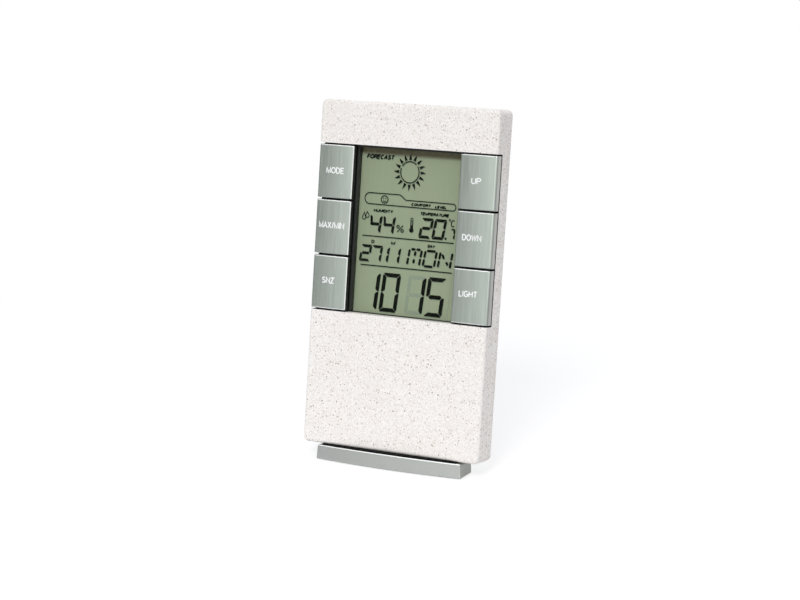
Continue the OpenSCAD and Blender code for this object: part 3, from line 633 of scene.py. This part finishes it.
def crowned_key(node):
    """A key cap whose face is crowned a little from side to side, with its front edges eased and
    its outer wall drawn back along the side of the body."""
    low, high = key_boxes[node]
    level = (low.y - FRONT) / MM
    bottom = (low.z - UNDERSIDE) / MM
    top = (high.z - UNDERSIDE) / MM
    top_row = high.z > max(b[1].z for b in key_boxes.values()) - MM
    bottom_row = low.z < min(b[0].z for b in key_boxes.values()) + MM
    outside = 1 if low.x > 0 else -1
    wall = max(outside * low.x, outside * high.x) - key_wall * MM
    bm = node_mesh(node)
    for i in range(1, key_strips):
        cut_through(bm, (low.x + (high.x - low.x) * i / key_strips, 0, 0), (1, 0, 0))
    cut_through(bm, (outside * wall, 0, 0), (1, 0, 0))
    cut_through(bm, from_body(0, level + key_corner_shade, 0), press_axis)
    bm.normal_update()
    wall_ends = [f for f in bm.faces if way_of(f).y > 0.9
                 and all(outside * v.co.x > wall - 0.1 * close * MM for v in f.verts)]
    # The back end of the outer wall is drawn further back
    drawn = bmesh.ops.extrude_face_region(bm, geom=wall_ends)["geom"]
    bmesh.ops.delete(bm, geom=wall_ends, context="FACES")
    for v in drawn:
        if isinstance(v, bmesh.types.BMVert):
            p = to_body(v.co)
            v.co = from_body(p.x, p.y + key_wall_reach, p.z)
    # The face is crowned, the outer ends are eased in and the outer wall is given its draft
    face = key_face(node)
    for v in bm.verts:
        p = to_body(v.co)
        crown = fade(p.y, level + key_face_depth, level + key_corner_shade) * (face(p.x) - level)
        ease = 0
        if top_row and p.z > top - close and p.y < level + key_end_depth:
            ease = -key_end_ease
        if bottom_row and p.z < bottom + close and p.y < level + key_end_depth:
            ease = key_end_ease
        draft = 0
        if outside * p.x > wall / MM + close:
            share = fade(p.y, level + key_face_depth, level + key_draft_depth)
            draft = outside * key_draft * share
        v.co = from_body(p.x - draft, p.y + crown, p.z + ease)
    round_edges(bm, key_bevel, lambda p: p.y < level + key_crown + outer_skin, clamp=False)
    bm.normal_update()
    # Painted shade in the gaps, black inside, silver on the face, painted reflection on the outer wall, painted
    # shade on its corner, and a painted highlight along the edges in the light
    finishes = [KEY, JET_AND_SHADE, EDGE_HIGHLIGHT, BLACK, KEY_WALL_PAINTED_LIGHT, KEY_CORNER_PAINTED_SHADE]
    for f in bm.faces:
        way = way_of(f)
        middle = middle_of(f)
        deep = middle.y > level + key_face_depth
        on_wall = outside * middle.x * MM > wall + close * MM
        lit_edge = (way.z > 0.25 or (bottom_row and way.z < -0.25)
                    or (outside < 0 and way.x > 0.35))
        # Painted shade: the skirts' upper and lower faces, in the gaps between keys, are near-black
        if deep and abs(way.z) > 0.7:
            finish = JET_AND_SHADE
        elif deep and not on_wall:
            finish = BLACK
        # Outer wall: a lighter copy as painted reflection; its rounded corner near the face: painted shade
        elif way.x * outside > 0.75:
            finish = KEY_CORNER_PAINTED_SHADE if middle.y < level + key_corner_shade else KEY_WALL_PAINTED_LIGHT
        # Painted highlight on the eased front edges that face the light
        elif not deep and way.y < -0.25 and lit_edge:
            finish = EDGE_HIGHLIGHT
        else:
            finish = KEY
        f.material_index = finishes.index(finish)
    piece(node.replace("_key", "_cap"), bm, finishes, node, [node])


for name in key_boxes:
    crowned_key(name)


def ring_solid(bm, start, way, profile, steps=48):
    """Adds a turned solid. profile is a list of (along, radius) in millimetres from start along
    way."""
    side = way.orthogonal().normalized()
    other = way.cross(side)
    turns = [2 * math.pi * i / steps for i in range(steps)]
    rings = []
    for along, radius in profile:
        middle = start + way * along * MM
        if radius == 0:
            rings.append([bm.verts.new(middle)])
        else:
            spokes = [(side * math.cos(a) + other * math.sin(a)) * radius * MM for a in turns]
            rings.append([bm.verts.new(middle + spoke) for spoke in spokes])
    for low_ring, high_ring in zip(rings, rings[1:]):
        for i in range(steps):
            j = (i + 1) % steps
            corners = [low_ring[i % len(low_ring)], low_ring[j % len(low_ring)],
                       high_ring[j % len(high_ring)], high_ring[i % len(high_ring)]]
            bm.faces.new(list(dict.fromkeys(corners)))


def battery(node, towards):
    """A cell in a blue sleeve with a silver band at its cap end, a rolled shoulder and a steel cap.
    towards is the side on which its cap lies."""
    low, high = upright_box(node)
    radius = (high.z - low.z) / 2 / MM
    length = (high.x - low.x) / MM
    middle = (low + high) / 2
    start = UPRIGHT_TO_ROW @ Vector((low.x if towards > 0 else high.x, middle.y, middle.z))
    cap_height, sleeve_share = 1.0, 0.72
    body = length - cap_height
    seam = sleeve_share * body
    parts = {
        "sleeve": (SLEEVE, [(0.15, radius - 0.75), (0, radius - 0.55), (0.1, radius - 0.15),
                            (0.4, radius), (seam, radius), (seam, radius - 0.1),
                            (0.15, radius - 0.75)]),
        "band": (SLEEVE_END, [(seam + 0.01, radius - 0.4), (seam + 0.01, radius),
                              (body - 0.4, radius), (body - 0.1, radius - 0.15),
                              (body, radius - 0.55), (body - 0.15, radius - 0.8),
                              (seam + 0.01, radius - 0.4)]),
        "can": (TIN, [(0.3, 0), (0.3, radius - 0.9), (body - 0.3, radius - 0.9),
                      (body - 0.3, 1.9), (length - 0.25, 1.85), (length, 1.6), (length, 0)]),
    }
    for part, (finish, profile) in parts.items():
        bm = bmesh.new()
        ring_solid(bm, start, Vector((towards, 0, 0)), profile)
        bmesh.ops.remove_doubles(bm, verts=bm.verts, dist=0.001 * MM)
        piece(node + "_" + part, bm, [finish], node, [node] if part == "sleeve" else ())


battery("lower_battery", -1)
battery("upper_battery", 1)

rim = node_mesh("foot")
round_edges(rim, rim_round, lambda p: True, sharper_than=60, clamp=False)
rim.normal_update()
foot_finishes = [FOOT, FOOT_END_SHADE, EDGE_HIGHLIGHT]
for f in rim.faces:
    # Painted shade on the end faces
    if abs(f.normal.x) > 0.9:
        f.material_index = foot_finishes.index(FOOT_END_SHADE)
    # Painted highlight along the foot's top front rim
    elif f.normal.y < -0.2 and 0.25 < f.normal.z < 0.97:
        f.material_index = foot_finishes.index(EDGE_HIGHLIGHT)
piece("silver_foot", rim, foot_finishes, "foot", ["foot"])


# Flat figures: thin solids made from outlines in millimetres across and up the body
def flat_solid(bm, outline, depth, ink):
    """Adds a flat figure whose back is at depth(across) and whose thickness is ink."""
    back = [bm.verts.new(from_body(u, depth(u), v)) for u, v in outline]
    face = [bm.verts.new(from_body(u, depth(u) - ink, v)) for u, v in outline]
    bm.faces.new(back)
    bm.faces.new(face)
    for i, (b, f) in enumerate(zip(back, face)):
        bm.faces.new((b, back[i - 1], face[i - 1], f))


def line(bm, path, width, depth, ink, closed=False):
    """Adds a line of even width along a path, mitred at its corners."""
    count = len(path)
    sides = []
    for i, (u, v) in enumerate(path):
        before = path[i - 1] if closed or i > 0 else None
        after = path[(i + 1) % count] if closed or i < count - 1 else None
        ways = [Vector((b[0] - a[0], b[1] - a[1])).normalized()
                for a, b in ((before, (u, v)), ((u, v), after)) if a and b]
        way = (ways[0] + ways[-1]).normalized()
        reach = width / 2 / max(0.5, way.dot(ways[0]))
        sides.append([(u - way.y * reach, v + way.x * reach),
                      (u + way.y * reach, v - way.x * reach)])
    rows = [[bm.verts.new(from_body(u, depth(u) - rise, v)) for rise in (0, ink) for u, v in pair]
            for pair in sides]
    for i in range(count if closed else count - 1):
        a, b = rows[i], rows[(i + 1) % count]
        for m, n in ((0, 1), (1, 3), (3, 2), (2, 0)):
            bm.faces.new((a[m], a[n], b[n], b[m]))
    if not closed:
        for row in (rows[0], rows[-1]):
            bm.faces.new((row[0], row[1], row[3], row[2]))


def arc(centre, across, up, start, end, steps=24):
    """Points on an ellipse between two angles in degrees, anticlockwise from the right."""
    angles = [math.radians(start + (end - start) * i / steps) for i in range(steps + 1)]
    return [(centre[0] + across * math.cos(a), centre[1] + up * math.sin(a)) for a in angles]


# Plain capitals as strokes: width against height, then paths inside a unit box
bowl = arc((0.55, 0.75), 0.45, 0.25, 90, -90, 8)
LETTERS = {
    "A": (0.72, [[(0, 0), (0.5, 1), (1, 0)], [(0.2, 0.34), (0.8, 0.34)]]),
    "C": (0.72, [arc((0.52, 0.5), 0.5, 0.5, 48, 312, 18)]),
    "D": (0.7, [[(0, 0), (0, 1), (0.45, 1)] + arc((0.45, 0.5), 0.55, 0.5, 80, -80, 12)
                + [(0.45, 0), (0, 0)]]),
    "E": (0.58, [[(1, 1), (0, 1), (0, 0), (1, 0)], [(0, 0.52), (0.88, 0.52)]]),
    "F": (0.56, [[(1, 1), (0, 1), (0, 0)], [(0, 0.5), (0.85, 0.5)]]),
    "G": (0.76, [arc((0.52, 0.5), 0.5, 0.5, 48, 330, 18) + [(1, 0.45), (0.58, 0.45)]]),
    "H": (0.68, [[(0, 0), (0, 1)], [(1, 0), (1, 1)], [(0, 0.52), (1, 0.52)]]),
    "I": (0.04, [[(0.5, 0), (0.5, 1)]]),
    "L": (0.54, [[(0, 1), (0, 0), (1, 0)]]),
    "M": (0.82, [[(0, 0), (0, 1), (0.5, 0.05), (1, 1), (1, 0)]]),
    "N": (0.7, [[(0, 0), (0, 1), (1, 0), (1, 1)]]),
    "O": (0.8, [arc((0.5, 0.5), 0.5, 0.5, 90, -255, 23)]),
    "P": (0.62, [[(0, 0), (0, 1)] + bowl + [(0, 0.5)]]),
    "R": (0.66, [[(0, 0), (0, 1)] + bowl + [(0, 0.5)], [(0.5, 0.5), (1, 0)]]),
    "S": (0.64, [arc((0.5, 0.75), 0.44, 0.25, 25, 265, 12)
                 + arc((0.5, 0.25), 0.48, 0.25, 85, -155, 12)]),
    "T": (0.64, [[(0, 1), (1, 1)], [(0.5, 1), (0.5, 0)]]),
    "U": (0.68, [[(0, 1)] + arc((0.5, 0.36), 0.5, 0.36, 180, 360, 12) + [(1, 1)]]),
    "V": (0.7, [[(0, 1), (0.5, 0), (1, 1)]]),
    "W": (0.98, [[(0, 1), (0.25, 0), (0.5, 0.9), (0.75, 0), (1, 1)]]),
    "X": (0.66, [[(0, 0), (1, 1)], [(0, 1), (1, 0)]]),
    "Y": (0.66, [[(0, 1), (0.5, 0.45), (1, 1)], [(0.5, 0.45), (0.5, 0)]]),
    "Z": (0.62, [[(0, 1), (1, 1), (0, 0), (1, 0)]]),
    "/": (0.34, [[(0, -0.04), (1, 1.04)]]),
    "%": (0.9, [[(0.15, 0), (0.85, 1)], arc((0.17, 0.78), 0.17, 0.2, 90, -240, 11),
                arc((0.83, 0.22), 0.17, 0.2, 90, -240, 11)]),
}


def lettering(bm, words, left, bottom, width, height, stroke, depth, ink, slant=0.0):
    """Adds words in plain capitals, spaced to fill a box whose lower left corner is given. The
    outer edges of the strokes touch the box."""
    gap = 0.24
    natural = sum(LETTERS[c][0] for c in words) + gap * (len(words) - 1)
    unit = (width - stroke) / natural
    tall = height - stroke
    start = left + stroke / 2
    for c in words:
        share, paths = LETTERS[c]
        for path in paths:
            points = [(start + x * share * unit + slant * y * tall, bottom + stroke / 2 + y * tall)
                      for x, y in path]
            closed = c in "O%" and len(path) > 2
            line(bm, points, stroke, depth, ink, closed)
        start += (share + gap) * unit


# Key legends: the words, their left and right ends and the height of their middle. A slash reaches
# a little past the capitals
LEGENDS = {
    "mode_key": ("MODE", -34.5, -26.6, 108.0),
    "max_min_key": ("MAX/MIN", -36.5, -25.2, 86.5),
    "snooze_key": ("SNZ", -33.6, -28.2, 64.8),
    "up_key": ("UP", 28.0, 32.2, 108.1),
    "down_key": ("DOWN", 25.6, 33.8, 86.5),
    "light_key": ("LIGHT", 25.7, 33.6, 65.0),
}
for name, (words, left, right, middle) in LEGENDS.items():
    bm = bmesh.new()
    height = legend_height * (1.06 if "/" in words else 1.0)
    lettering(bm, words, left, middle - height / 2, right - left, height, legend_stroke,
              key_face(name), legend_ink)
    piece(name.replace("_key", "_legend"), bm, [LEGEND], name)


# Display figures
glass_face = (upright_box("lcd_glass")[0].y - FRONT) / MM
SEGMENTS = {"0": "abcdef", "1": "bc", "2": "abdeg", "5": "acdfg", "7": "abc"}


def segment_outlines(w, h, t, gap):
    """Outlines of the seven segments about the middle of a figure: half width w, half height h,
    half stroke t."""
    top = [(-w - 0.3 * t, h + t), (w + 0.3 * t, h + t), (w + 0.8 * t - gap, h + 0.6 * t),
           (w - t - gap, h - t), (-w + t + gap, h - t), (-w - 0.8 * t + gap, h + 0.6 * t)]
    side = [(w + 0.25 * t, h + 0.2 * t), (w + t, h - 0.1 * t), (w + t, gap), (w, gap),
            (w - t, t + gap), (w - t, h - t - gap)]
    bar = [(-w + gap, 0), (-w + t + gap, t), (w - t - gap, t), (w - gap, 0), (w - t - gap, -t),
           (-w + t + gap, -t)]

    def mirror(outline, across, up):
        return [(u * across, v * up) for u, v in outline]
    return {"a": top, "b": side, "c": mirror(side, 1, -1), "d": mirror(top, 1, -1),
            "e": mirror(side, -1, -1), "f": mirror(side, -1, 1), "g": bar}


def figure(bm, lit, middle, size, stroke, slant, shift, depth, ink):
    """Adds the lit segments of a figure about its middle. size is its width and height between
    stroke centres."""
    outlines = segment_outlines(size[0] / 2, size[1] / 2, stroke / 2, 0.1 * stroke)
    for name, outline in outlines.items():
        if name in lit:
            leaning = [(middle[0] + u + slant * v + shift[0], middle[1] + v + shift[1])
                       for u, v in outline]
            flat_solid(bm, leaning, depth, ink)


def weekday_letters(bm, shift, depth, ink):
    """Adds M, O and N in split segments, as the display writes MON."""
    slant, stroke, low, high, waist = 0.15, 1.0, 73.6, 79.45, 76.5

    def strokes(middle, width, parts):
        for (a, b), (c, d) in parts:
            start = Vector((middle + a * width / 2 + slant * (b - waist), b)) + Vector(shift)
            end = Vector((middle + c * width / 2 + slant * (d - waist), d)) + Vector(shift)
            way = (end - start).normalized()
            side = Vector((-way.y, way.x)) * stroke / 2
            nib = way * stroke * 0.4
            flat_solid(bm, [start, start + nib + side, end - nib + side, end, end - nib - side,
                            start + nib - side], depth, ink)

    uprights = [((s, high + 0.1), (s, waist + 0.12)) for s in (-1, 1)]
    uprights += [((s, waist - 0.12), (s, low - 0.1)) for s in (-1, 1)]
    strokes(3.46, 5.2, uprights + [
        ((-0.82, high + 0.2), (-0.02, high + 0.2)), ((0.02, high + 0.2), (0.82, high + 0.2)),
        ((0, high - 0.4), (0, waist + 0.5)), ((0, waist - 0.5), (0, low + 0.5))])
    strokes(10.08, 4.8, uprights + [
        ((-0.82, high + 0.1), (0.82, high + 0.1)), ((-0.82, low - 0.1), (0.82, low - 0.1))])
    strokes(16.66, 5.1, uprights + [
        ((-0.68, high - 0.6), (-0.2, waist + 0.35)), ((0.15, waist - 0.5), (0.65, low + 0.9))])


def sun(bm, shift, depth, ink):
    """Adds the forecast sun: a thin ring with two small breaks and sixteen curved flames."""
    centre = (-0.74 + shift[0], 109.3 + shift[1])
    for start, end in ((48, 148), (160, 396)):
        line(bm, arc(centre, 3.95, 4.12, start, end, 40), 0.46, depth, ink)
    flame = [(4.6, -0.62), (5.5, -0.58), (6.4, -0.32), (7.3, 0.25), (6.4, 0.28), (5.7, 0.42),
             (4.7, 0.62), (4.85, 0.0)]
    for i in range(16):
        turn = math.radians(90 - 22.5 * i)
        across, up = math.cos(turn), math.sin(turn)
        flat_solid(bm, [(centre[0] + 0.96 * r * across + s * up, centre[1] + r * up - s * across)
                        for r, s in flame], depth, ink)


def display_figures(bm, shift, depth, ink):
    """Adds everything that the display shows, moved by shift."""
    a, b = shift

    def moved(points):
        return [(u + a, v + b) for u, v in points]

    def words(text, left, bottom, width, height, stroke=0.4, slant=0.2):
        lettering(bm, text, left + a, bottom + b, width, height, stroke, depth, ink, slant)

    sun(bm, shift, depth, ink)
    words("FORECAST", -19.9, 113.5, 12.0, 1.95, 0.54, 0.3)
    # The comfort field and its smiling face
    comfort = arc((-17.5, 98.07), 2.1, 2.15, 270, 90, 14)
    comfort += [(-4.6, 100.3), (-3.9, 100.0), (-2.0, 98.55), (-1.4, 98.38)]
    comfort += arc((18.55, 97.06), 1.25, 1.32, 90, -90, 12)
    line(bm, moved(comfort), outline_width, depth, ink, closed=True)
    line(bm, moved(arc((-10.95, 98.0), 1.5, 1.42, 0, 345, 28)), 0.42, depth, ink, closed=True)
    line(bm, moved(arc((-10.95, 97.95), 0.75, 0.7, 205, 335, 10)), 0.3, depth, ink)
    for side in (-0.5, 0.5):
        flat_solid(bm, moved(arc((-10.95 + side, 98.45), 0.22, 0.26, 0, 330, 11)), depth, ink)
    words("COMFORT", 0.6, 96.4, 8.55, 1.15)
    words("LEVEL", 10.9, 96.2, 5.1, 1.15)
    # Humidity, with two drops, and temperature, with a thermometer
    words("HUMIDITY", -15.5, 92.85, 8.5, 1.3)
    words("TEMPERATURE", 4.65, 93.1, 12.5, 1.3)
    for foot, tip in (((-19.5, 90.5), (-19.45, 92.5)), ((-18.05, 91.3), (-18.25, 92.7))):
        drop = arc(foot, 0.72, 0.85, 130, 410, 18) + [tip]
        line(bm, moved(drop), 0.34, depth, ink, closed=True)
    upper_left = [(-2.15, 91.3), (-1.6, 91.5), (-1.1, 91.0), (-0.95, 88.8), (-1.25, 88.3),
                  (-2.0, 88.7)]
    for middle in (-14.55, -8.8):
        figure(bm, "bcg", (middle, 88.2), (4.6, 6.3), 1.18, 0.125, shift, depth, ink)
        flat_solid(bm, moved([(middle + u, v) for u, v in upper_left]), depth, ink)
    words("%", -5.35, 85.6, 3.5, 3.1, 0.42, 0.1)
    tube = [(1.0, 87.8)] + arc((1.42, 91.2), 0.45, 0.5, 180, 0, 10) + [(1.9, 87.8)]
    line(bm, moved(tube), 0.3, depth, ink)
    for mark in range(5):
        line(bm, moved([(1.1, 88.8 + 0.5 * mark), (1.75, 88.8 + 0.5 * mark)]), 0.2, depth, ink)
    bulb = arc((1.42, 86.95), 0.98, 0.95, 105, 435, 20)[:-1] + [(1.75, 88.7), (1.2, 88.7)]
    flat_solid(bm, moved(bulb), depth, ink)
    for text, middle in (("2", 7.72), ("0", 13.34)):
        figure(bm, SEGMENTS[text], (middle, 88.2), (4.1, 6.85), 1.18, 0.16, shift, depth, ink)
    flat_solid(bm, moved(arc((16.25, 84.9), 0.48, 0.48, 0, 330, 11)), depth, ink)
    figure(bm, SEGMENTS["7"], (19.1, 86.75), (1.3, 3.6), 0.75, 0.06, shift, depth, ink)
    line(bm, moved(arc((17.62, 92.1), 0.34, 0.36, 0, 330, 11)), 0.26, depth, ink, closed=True)
    words("C", 18.0, 89.5, 1.9, 2.8, 0.42, 0.05)
    # Between two rules the date and the weekday, and below them the time
    for height in rule_heights:
        line(bm, moved([(-rule_reach, height), (rule_reach, height)]), rule_width, depth, ink)
    words("D", -15.75, 80.6, 1.4, 1.35)
    words("M", -7.1, 80.6, 1.8, 1.35)
    words("DAY", 8.75, 80.75, 3.2, 1.25)
    for text, middle in (("2", -17.91), ("7", -13.1), ("1", -10.0), ("1", -5.17)):
        figure(bm, SEGMENTS[text], (middle, 76.55), (3.75, 5.6), 1.06, 0.135, shift, depth, ink)
    weekday_letters(bm, shift, depth, ink)
    for text, middle in (("1", -15.06), ("0", -6.3), ("1", 4.78), ("5", 13.3)):
        figure(bm, SEGMENTS[text], (middle, 61.85), (6.2, 13.75), 1.6, 0.09, shift, depth, ink)


def on_glass(u):
    """Depth of the display's face, the same all over."""
    return glass_face


def shaded_display_edge():
    """Painted shadow of the brow on the top of the display: a mottled brown-grey that fades
    into the display below it."""
    low, high = [from_body(0, glass_face, v).z for v in (band_low, band_low + band_fade)]

    def paint(tree, place):
        height = add(tree, "SeparateXYZ", {0: place}).outputs["Z"]
        cloud = grain(tree, place, 1.5, detail=2.0)
        brow_shadow_tone = mottled(tree, cloud, "#6C684D", "#787457")
        colour = blend_colours(tree, between(tree, height, 0.0, 1.0, low, high), "#9DA58B", brow_shadow_tone)
        return surface(tree, colour, cloud, 0.3, 0.38)
    return material("shaded_display_edge", paint, IOR=1.52, Specular_IOR_Level=0.2)


figures = bmesh.new()
display_figures(figures, (0, 0), on_glass, figure_ink)
piece("lit_figures", figures, [FIGURE], "lcd_glass")
shadows = bmesh.new()
display_figures(shadows, figure_shadow_shift, on_glass, figure_ink * 0.3)
piece("figure_shadows", shadows, [FIGURE_SHADOW], "lcd_glass")
# A band of painted shadow where the brow shades the top of the display
band = bmesh.new()
flat_solid(band, [(-band_half, band_low), (band_half, band_low), (band_half, band_high),
                  (-band_half, band_high)], on_glass, figure_ink * 0.5)
piece("display_top_band", band, [shaded_display_edge()], "lcd_glass")
ghost = bmesh.new()
figure(ghost, "adefg", (4.78, 61.85), (6.2, 13.75), 1.5, 0.09, (0, 0), on_glass, figure_ink * 0.6)
line(ghost, [(18.9, 54.6), (20.2, 71.3)], 0.25, on_glass, figure_ink * 0.6)
piece("unlit_figure", ghost, [UNLIT], "lcd_glass")


# Floor, backdrop and light
def floor_material():
    """Smooth white studio board. The camera sees it a little under white where light is kept off
    it, and plain white further out, so that it runs into the backdrop. It throws less light on
    other things from further out."""
    made = bpy.data.materials.new("white_studio_board")
    tree = empty_tree(made)
    place = add(tree, "TexCoord").outputs["Object"]
    fibre = grain(tree, place, 0.6)
    pale = blend_colours(tree, fibre, "#A6A6A6", "#AAAAAA")
    seen = add(tree, "BsdfDiffuse", {"Color": pale})
    glow = add(tree, "Emission", {"Color": linear("#FFFFFF"), "Strength": board_glow})
    near = add(tree, "AddShader", {0: seen.outputs[0], 1: glow.outputs[0]})
    white = add(tree, "Emission", {"Color": linear("#FFFFFF"), "Strength": 1.0})
    reach = add(tree, "VectorMath", {0: place}, operation="LENGTH").outputs["Value"]
    far = between(tree, reach, 0.0, 1.0, *board_white)
    shown = add(tree, "MixShader", {0: far, 1: near.outputs[0], 2: white.outputs[0]})
    board = mottled(tree, fibre, "#EDEDED", "#F2F2F2")
    path = add(tree, "LightPath")
    away = add(tree, "Math", {0: between(tree, reach, 0.0, 1.0, *board_dimming),
                              1: path.outputs["Is Diffuse Ray"]}, operation="MULTIPLY")
    dimmed = blend_colours(tree, away.outputs[0], board, "#777777")
    plain = add(tree, "BsdfDiffuse", {"Color": dimmed})
    both = add(tree, "MixShader", {0: path.outputs["Is Camera Ray"], 1: plain.outputs[0],
                                   2: shown.outputs[0]})
    add(tree, "OutputMaterial", {"Surface": both.outputs[0]})
    return made


def studio():
    """A white room for the camera, a soft sky for the light, and for reflections a room that is
    darker to the left and brighter above."""
    world = bpy.data.worlds.new("white_room")
    bpy.context.scene.world = world
    tree = empty_tree(world)
    way = add(tree, "TexCoord").outputs["Generated"]
    parts = add(tree, "SeparateXYZ", {0: way})
    side = between(tree, parts.outputs["X"], 0.05, room_brightness, *room_across)
    above = between(tree, parts.outputs["Z"], 0.0, room_brightness, *room_upwards)
    both = add(tree, "Math", {0: side, 1: above})
    path = add(tree, "LightPath")
    sky = add(tree, "Background", {"Color": linear("#F6F8FF"), "Strength": sky_strength})
    mirrored = add(tree, "Background", {"Color": linear("#FCFFFA"), "Strength": both.outputs[0]})
    seen = add(tree, "Background", {"Color": linear("#FFFFFF"), "Strength": 1.0})
    first = add(tree, "MixShader", {0: path.outputs["Is Glossy Ray"], 1: sky.outputs[0],
                                    2: mirrored.outputs[0]})
    direct = add(tree, "Math", {0: path.outputs["Is Camera Ray"],
                                1: path.outputs["Is Transmission Ray"]}, operation="MAXIMUM")
    last = add(tree, "MixShader", {0: direct.outputs[0], 1: first.outputs[0], 2: seen.outputs[0]})
    add(tree, "OutputWorld", {"Surface": last.outputs[0]})


def look_at(obj, place, target, roll=0.0):
    """Points an object's -Z at a target."""
    obj.location = place
    turn = (Vector(target) - Vector(place)).to_track_quat("-Z", "Y").to_matrix().to_4x4()
    obj.rotation_euler = (turn @ Matrix.Rotation(roll, 4, "Z")).to_euler()


bm = bmesh.new()
bmesh.ops.create_grid(bm, x_segments=8, y_segments=8, size=board_size)
floor_mesh = bpy.data.meshes.new("studio_board")
bm.to_mesh(floor_mesh)
bm.free()
floor_mesh.materials.append(floor_material())
studio_board = placed("studio_board", floor_mesh)
studio_board.location.z = -board_drop * MM
studio()

lamp = bpy.data.lights.new("softbox", "AREA")
lamp.shape = "DISK"
lamp.size = lamp_size
lamp.energy = lamp_power
softbox = placed("softbox", lamp)
level_reach = math.cos(lamp_elevation)
lamp_way = Vector((level_reach * math.sin(lamp_azimuth), -level_reach * math.cos(lamp_azimuth),
                   math.sin(lamp_elevation)))
look_at(softbox, lamp_way * lamp_distance, lamp_target)

lens = bpy.data.cameras.new("camera")
lens.lens = camera_lens_mm
lens.sensor_width = camera_sensor_mm
camera = placed("camera", lens)
look_at(camera, camera_place, camera_target, camera_roll)
bpy.context.scene.camera = camera
bpy.context.scene.view_settings.view_transform = "Standard"
